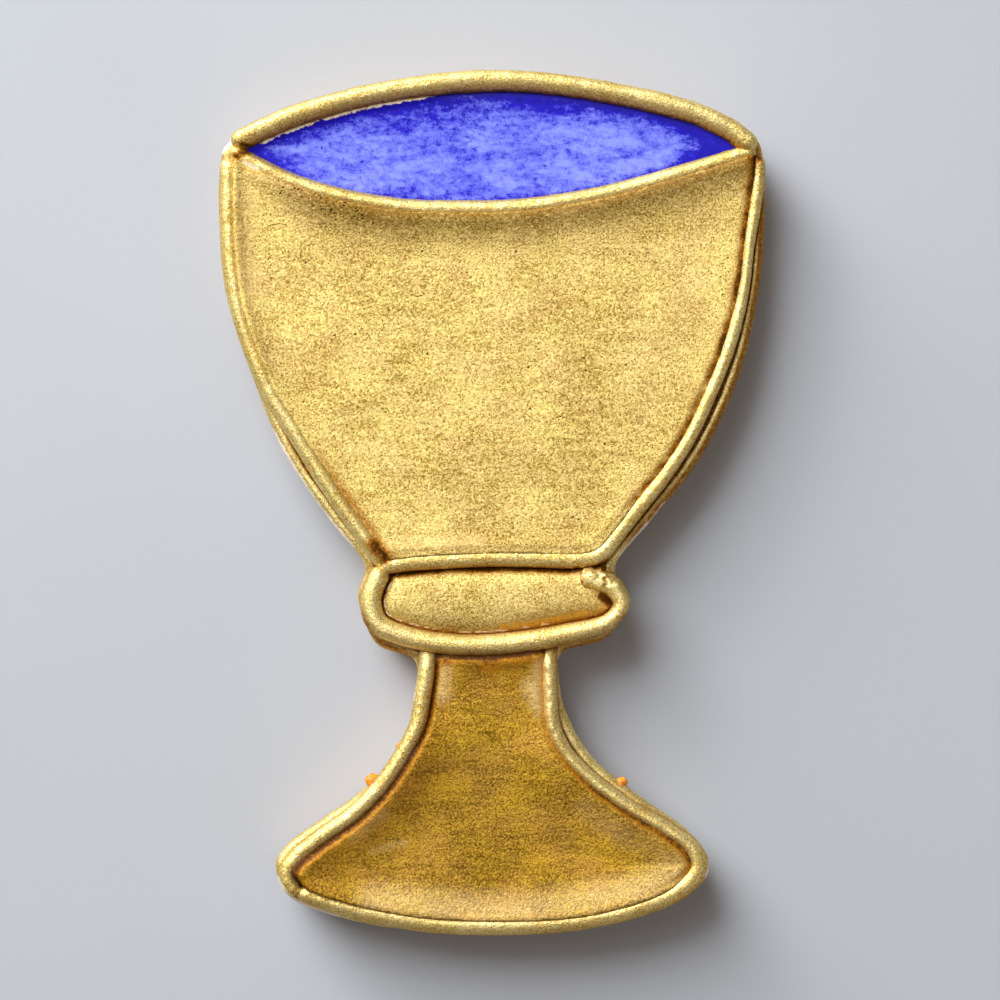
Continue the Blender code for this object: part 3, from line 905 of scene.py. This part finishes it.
def bowl_marks(places):
    x, y = places[:, 0], places[:, 1]
    front, left, right = rim_front_gap(places), bowl_left_gap(places), bowl_right_gap(places)
    base_share = np.clip((2.0 - y) / 4.0, 0, 1)
    # painted shade: a broad band under the rim's front line
    beyond_rim = np.clip(front - 0.2, 0, None)
    band = np.clip((x + 29) / 8, 0, 1)
    under_rim_shade = (0.85 + 0.3 * ripple(places, 5.0, 34)) * np.exp(-((beyond_rim / 3.2) ** 2)) * band
    # brown paint with painted shade under the front line, beside the right line and low beside the
    # left line
    below_line = 0.12 * np.exp(-beyond_rim / 0.4) * band
    brown = (0.6 + 0.5 * ripple(places, 1.2, 35)) * (0.65 + 0.35 * np.clip((y - 12) / 6, 0, 1))
    beside = (1 - base_share) * brown * (edge_mark(right, 0.35) + 0.5 * edge_mark(right, 1.0))
    low_left = 0.4 * edge_mark(left, 0.6) * np.clip((8 - y) / 6, 0, 1)
    crease = np.maximum.reduce([below_line, beside, low_left])
    return paint_marks(places, crease, under_rim_shade)


def clear_of_lines(x, y):
    spot = np.array([[x, y]])
    return (
        inside(np.array([tuple(p) for p in bowl_outline]), spot)[0]
        and min(bowl_left_gap(spot)[0], bowl_right_gap(spot)[0], rim_front_gap(spot)[0]) > 1.2
    )


SCATTERED = 37  # pinholes over the whole bowl
UNDER_RIM = 46  # pinholes in the band under the rim's front line
SCRATCH_STEP = 0.16  # between the small pits that make up a scratch

dice = random.Random(7)
# The pinholes that stand out, each with its radius; the rest are scattered
pits = [
    (-29.0, 29.1, 0.10), (-27.8, 30.2, 0.11), (-26.2, 29.3, 0.12), (-26.0, 26.4, 0.10),
    (-18.5, 19.7, 0.14), (-7.6, 8.7, 0.12), (-2.2, 8.4, 0.10), (12.0, 27.9, 0.10), (27.1, 24.5, 0.11),
]
standing_out = len(pits)
while len(pits) < standing_out + SCATTERED:
    x, y, radius = dice.uniform(-29, 29), dice.uniform(-4, 34), dice.uniform(0.09, 0.17)
    if clear_of_lines(x, y):
        pits.append((x, y, radius))
for _ in range(UNDER_RIM):
    x, drop, radius = dice.uniform(-26.5, -15), dice.uniform(1.25, 3.2), dice.uniform(0.08, 0.15)
    y = 34.75 + 0.0088 * (x + 2) ** 2 - drop  # below the rim's curve
    pits.append((x, y, radius))
# Short scratches across the bowl: start, height and length
SCRATCHES = [
    (-26.2, 32.7, 2.3), (-20.3, 32.8, 1.1), (-8.9, 24.3, 0.9), (-11.0, 22.6, 0.7), (8.5, 15.5, 0.8),
]
for start, y, length in SCRATCHES:
    for step in range(int(length / SCRATCH_STEP)):
        x = start + SCRATCH_STEP * step
        pits.append((x, y + 0.12 * math.sin(2.2 * x), 0.07))
bowl = closed_flood(
    "bowl_icing", bowl_outline, FLOOD_SPACING, bowl_height, LINE_FOOT, pits, marks=bowl_marks
)
stand_for(bowl, "bowl_flood", bowl_gold)

# knop
KNOP_TAIL = 3  # the points of its line that belong to the torn tail
BASE_START = 11  # the point where the bowl's right line turns along the base
beside_tail = [Vector((12.9, -13.5)), Vector((12.9, -6.0))]  # the flood ends upright beside it
knop_outline = enclosed([
    side("knop_bead", last=-2),
    beside_tail,
    side("bowl_right_and_base_bead", first=BASE_START),
])
knop_gap = gap_from("knop_bead", last=-KNOP_TAIL)


def knop_height(places):
    knop_side, base_side = knop_gap(places), bowl_right_gap(places)
    away = np.clip(np.minimum(knop_side, base_side), 0, None)
    return (
        KNOP_LEVEL
        - 1.0 * np.exp(-away / 0.75)
        - 0.4 * edge_mark(base_side, 0.8)
        + 0.03 * ripple(places, 2.5, 41)
        + 0.006 * ripple(places, 0.5, 42)
    )


def knop_marks(places):
    """Brown paint and painted shade in the groove all round, deepest along the top, painted shade over
    the knop's lower part, and dashes of missed icing along its foot.
    """
    x, y = places[:, 0], places[:, 1]
    knop_side, base_side = knop_gap(places), bowl_right_gap(places)
    crease = np.maximum.reduce([
        (1.0 - 0.5 * np.clip((-12.5 - y) / 2, 0, 1)) * edge_mark(knop_side, 0.35),
        (1.2 + 0.9 * ripple(places, 1.5, 44)) * edge_mark(base_side - 0.1, 0.4),
    ])
    low_shade = 0.3 * edge_mark(knop_side, 1.6) * np.clip((x + 2) / 5, 0, 1)
    marks = paint_marks(places, np.maximum(crease, low_shade), 0.5 * np.clip((-11.5 - y) / 3, 0, 1))
    dashes = np.clip(0.8 + 1.5 * ripple(places, 0.9, 43), 0, 1)
    missed = np.exp(-(((knop_side - 0.35) / 0.13) ** 2)) * np.clip((9 - x) / 3, 0, 1) * dashes
    marks["bare"] = np.maximum(marks["bare"], 0.75 * missed)
    return marks


knop = closed_flood("knop_icing", knop_outline, 0.22, knop_height, LINE_FOOT, marks=knop_marks)
stand_for(knop, "knop_flood", knop_gold)

# stem and foot
KNOP_LOW_RUN = (3, 11)  # the points of the knop's line that lie along the top of the stem
foot_outline = enclosed([
    side("foot_left_bead"),
    side("foot_base_and_right_bead"),
    side("knop_bead", True, *KNOP_LOW_RUN, reach=1.0),
])
foot_left_gap = gap_from("foot_left_bead")
foot_right_gap = gap_from("foot_base_and_right_bead")


def foot_height(places):
    x, y = places[:, 0], places[:, 1]
    left, right, above = foot_left_gap(places), foot_right_gap(places), knop_gap(places)
    stem_share = np.clip((y + 30.0) / 5.0, 0, 1)
    low_share = np.clip((-44.0 - y) / 2.5, 0, 1)
    return (
        FOOT_LEVEL
        + (1 - stem_share) * near_side(left, 0.85, 3.6, 0.0, 0.3)
        + (1 - 0.7 * stem_share) * near_side(right, 0.8, 3.4, 0.0, 0.3)
        + 0.15 * low_share
        + 0.25 * stem_share * (1 - np.clip(np.abs(x) / 6, 0, 1) ** 2)
        - 0.5 * edge_mark(left, 0.5)
        - 0.25 * (1 - low_share) * edge_mark(right, 0.4)
        + near_side(above, 0.5, 2.6, 0.4, 0.5)
        + 0.06 * ripple(places, 4.5, 51)
        + 0.022 * ripple(np.column_stack([x * 0.22, y]), 0.9, 52)
        + 0.005 * ripple(places, 0.5, 53)
    )


def foot_marks(places):
    left, right, above = foot_left_gap(places), foot_right_gap(places), knop_gap(places)
    y = places[:, 1]
    low_share = np.clip((-42.0 - y) / 3, 0, 1)
    # brown paint with painted shade along the lines, and a broad painted shadow under the knop's line
    crease = np.maximum.reduce([
        1.1 * edge_mark(left, 0.55),
        0.12 * edge_mark(left, 3.4),
        (1 - low_share) * (0.3 + 0.5 * np.clip((-30 - y) / 4, 0, 1)) * edge_mark(right, 0.35),
        1.2 * edge_mark(above - 0.15, 0.35),
        (0.5 + 1.0 * ripple(places, 1.6, 54)) * np.exp(-np.clip(above, 0, None) / 1.7),
    ])
    return paint_marks(places, crease)


FOOT_SCRATCHES = [(4.2, -28.4, 1.0), (3.2, -39.4, 2.2), (-18.0, -40.8, 1.5)]
foot_pits = [
    (x + SCRATCH_STEP * step, y + 0.03 * step, 0.06)
    for x, y, length in FOOT_SCRATCHES
    for step in range(int(length / SCRATCH_STEP))
]
foot = closed_flood(
    "stem_and_foot_icing", foot_outline, FLOOD_SPACING, foot_height, LINE_FOOT, foot_pits,
    marks=foot_marks,
)
stand_for(foot, "stem_and_foot_flood", foot_gold)

# base coat
edge_route = smooth_route(ICING_EDGE, 0.4, closed=True)
EDGE_HALF_WIDTH = 0.85  # of the base coat's piped outline
edge_middle = left_offset(edge_route, EDGE_HALF_WIDTH, closed=True)
BASE_FOOT = COOKIE_TOP - 0.1
vertices, faces, up, across, turned_from_light = line_mesh(
    edge_middle[::2], EDGE_HALF_WIDTH, BASE_COAT_TOP + 0.05 - BASE_FOOT, BASE_FOOT, 11, closed=True
)
flat = vertices[:, :2]
line_gaps = np.minimum.reduce([gap_from(name)(flat) for name in LINES])
# On the bowl's right the outer flank is brown paint with painted shade; elsewhere the gold stops
# raggedly on it
outer = np.clip(-across * 2, 0, 1)
right_side = np.clip(flat[:, 0] / 4, 0, 1) * np.clip((flat[:, 1] + 6) / 3, 0, 1)
right_side *= np.clip((39.0 - flat[:, 1]) / 3, 0, 1)
# a dark hairline against the lines and darker flanks turned from the light: painted shade with brown
# paint
hairline = (0.3 + 0.8 * right_side) * edge_mark(line_gaps, 0.2) * np.clip(up * 2 - 0.6, 0, 1)
shade_side = np.clip(turned_from_light, 0, 1) * outer
crease = np.maximum(hairline, 0.35 * shade_side * np.clip(1.35 - up / 0.6, 0, 1))
crease = np.maximum(crease, 0.55 * right_side * np.clip((0.05 - across) / 0.4, 0, 1))
marks = paint_marks(vertices, crease)
unpainted = np.clip(1.0 - up / 0.3, 0, 1) * outer * (1 - 0.8 * right_side)
marks["bare"] = np.maximum(marks["bare"], unpainted)
orange_band = 0.4 * np.clip(1 - np.abs(up - 0.4) / 0.25, 0, 1) * outer
marks["pooled"] = np.maximum(marks["pooled"], orange_band)
outline_piece = make_object("base_coat_outline_icing", vertices, faces, marks)
stand_for(outline_piece, "base_coat_outline", line_gold)

# the base coat is darkened all over by the crease mark: painted shade where it shows between the
# floods and lines
pool = closed_flood(
    "base_coat_icing", edge_middle, 0.5,
    lambda places: BASE_COAT_TOP - 0.03 + 0.02 * ripple(places, 2.0, 12), BASE_FOOT,
    marks=lambda places: paint_marks(places, np.full(len(places), 0.8)),
)
stand_for(pool, "base_coat_flood", line_gold)

# baked slab
SLAB_INSET = 0.5  # how far the slab's edge lies inside the icing's
LOW_ROUND, HIGH_ROUND = 0.7, 1.5  # radii of the slab's lower and upper edges
slab_edge = left_offset(edge_route, SLAB_INSET, closed=True)
slab_line = respaced(slab_edge, 0.4)


def slab_piece():
    """The slab: rings from its underside round the edge to its top, with a crumbly surface."""
    count = len(slab_line)
    forward = np.roll(slab_line, -1, axis=0) - np.roll(slab_line, 1, axis=0)
    forward /= np.hypot(*forward.T)[:, None]
    inward = np.column_stack([-forward[:, 1], forward[:, 0]])
    profile = []  # inset from the edge, and height
    for angle in np.linspace(0, math.pi / 2, 5):
        profile.append((LOW_ROUND * (1 - math.sin(angle)), LOW_ROUND * (1 - math.cos(angle))))
    for z in np.linspace(LOW_ROUND, COOKIE_TOP - HIGH_ROUND, 9)[1:-1]:
        profile.append((0.0, z))
    for angle in np.linspace(0, math.pi / 2, 7):
        inset = HIGH_ROUND * (1 - math.cos(angle))
        profile.append((inset, COOKIE_TOP - HIGH_ROUND * (1 - math.sin(angle))))
    rings = []
    for inset, z in profile:
        ring = np.column_stack([slab_line + inward * inset, np.full(count, z)])
        bulge = 0.12 * ripple(ring, 4.0, 61) + 0.07 * ripple(ring, 1.2, 62)
        bulge = bulge + 0.03 * ripple(ring, 0.5, 63)
        ring[:, :2] -= inward * (bulge - 0.12)[:, None] * min(1, 3 * z / COOKIE_TOP)
        rings.append(ring)
    vertices = np.vstack(rings)
    faces = []
    for r in range(len(rings) - 1):
        a, b = r * count, (r + 1) * count
        for i in range(count):
            k = (i + 1) % count
            faces.append((a + i, a + k, b + k, b + i))
    browned = np.concatenate([
        np.full(count, max(0.0, 1 - z / 2.2) * 0.9) for _, z in profile
    ])
    # underside, with small bake pits
    start = len(vertices)
    under_edge = rings[0][:, :2]
    grid = hex_grid(under_edge, 0.7)
    places = np.vstack([under_edge, grid])
    sheet = delaunay_2d_cdt([Vector(p) for p in places], [], [list(range(count))], 1, 1e-7)
    spots = np.array([tuple(p) for p in sheet[0]])
    pit = np.clip(ripple(spots, 1.6, 64) - 0.25, 0, 1) * 0.5
    pit[:count] = 0
    extra = np.column_stack([spots[count:], pit[count:]])
    vertices = np.vstack([vertices, extra])
    faces += [tuple(v if v < count else start + v - count for v in f) for f in sheet[2]]
    browned = np.concatenate([browned, np.clip(0.55 + 0.5 * ripple(spots[count:], 9.0, 65), 0, 1)])
    # top, out of sight under the icing
    last = (len(rings) - 1) * count
    faces += [tuple(last + v for v in f) for f in filled(rings[-1][:, :2])]
    return make_object("baked_slab", vertices, faces, {"browned": browned})


stand_for(slab_piece(), "cookie_base", biscuit)

# crumbs
for name in ("paint_crumb_upper_left", "paint_crumb_lower_left", "paint_crumb_right"):
    low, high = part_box(name)
    middle = np.array((low + high) / 2 / MM)
    size = np.array((high - low) / 2 / MM)
    spot = Vector(middle[:2])
    nearest = min(edge_middle, key=lambda point: (point - spot).length)
    middle[:2] += 0.5 * (np.array(tuple(nearest)) - middle[:2])  # bedded in the outline's flank
    ball = bmesh.new()
    bmesh.ops.create_icosphere(ball, subdivisions=4, radius=1)
    shell = np.array([tuple(v.co) for v in ball.verts])
    triangles = [tuple(v.index for v in f.verts) for f in ball.faces]
    ball.free()
    lumpy = 1 + 0.25 * ripple(shell, 0.8, 71) + 0.08 * ripple(shell, 0.3, 72)
    lump = make_object(name + "_icing", middle + shell * size * 1.3 * lumpy[:, None], triangles)
    stand_for(lump, name, paint_orange)


# ---------------------------------------------------------------- stage, lights, camera

floor_mesh = bpy.data.meshes.new("floor")
floor_shape = bmesh.new()
bmesh.ops.create_grid(floor_shape, x_segments=2, y_segments=2, size=1.5)
floor_shape.to_mesh(floor_mesh)
floor_shape.free()
floor = bpy.data.objects.new("floor", floor_mesh)
floor.location.z = CAD_LOW.z - 0.0001
floor.data.materials.append(floor_material())
bpy.context.scene.collection.objects.link(floor)


def soft_light(name, toward, distance, size, power, colour):
    """A round lamp that faces the origin from `distance` metres away."""
    data = bpy.data.lights.new(name, "AREA")
    data.shape = "DISK"
    data.size = size
    data.energy = power
    data.color = colour
    lamp = bpy.data.objects.new(name, data)
    direction = Vector(toward).normalized()
    lamp.location = direction * distance
    lamp.rotation_euler = direction.to_track_quat("Z", "Y").to_euler()
    bpy.context.scene.collection.objects.link(lamp)


soft_light("key_light", (-0.47, 0.64, 0.78), 0.9, 0.7, 9.4, (1.0, 0.98, 0.94))
soft_light("low_light", (-0.6, 0.75, 0.3), 0.9, 0.5, 6.0, (1.0, 0.98, 0.94))
soft_light("high_light", (-0.25, 0.35, 0.9), 1.0, 0.5, 1.6, (0.97, 0.98, 1.0))
soft_light("fill_light", (0.7, -0.5, 0.6), 1.2, 0.8, 1.4, (0.93, 0.96, 1.0))

world = bpy.data.worlds.new("studio")
world.use_nodes = True
background = world.node_tree.nodes["Background"]
background.inputs["Color"].default_value = (1.0, 0.78, 0.58, 1)
background.inputs["Strength"].default_value = 0.2
bpy.context.scene.world = world
bpy.context.scene.view_settings.view_transform = "Standard"

VIEW_WIDTH = 118.0  # millimetres across the picture, level with the icing
VIEW_CENTRE = (0.94, 0.35)
VIEW_HEIGHT = 420.0  # of the camera above the icing
camera_data = bpy.data.cameras.new("camera")
camera_data.sensor_width = 36
camera_data.lens = 36 * VIEW_HEIGHT / VIEW_WIDTH
camera_data.clip_start = 0.01
camera = bpy.data.objects.new("camera", camera_data)
camera.location = (VIEW_CENTRE[0] * MM, VIEW_CENTRE[1] * MM, (BASE_COAT_TOP + VIEW_HEIGHT) * MM)
bpy.context.scene.collection.objects.link(camera)
bpy.context.scene.camera = camera
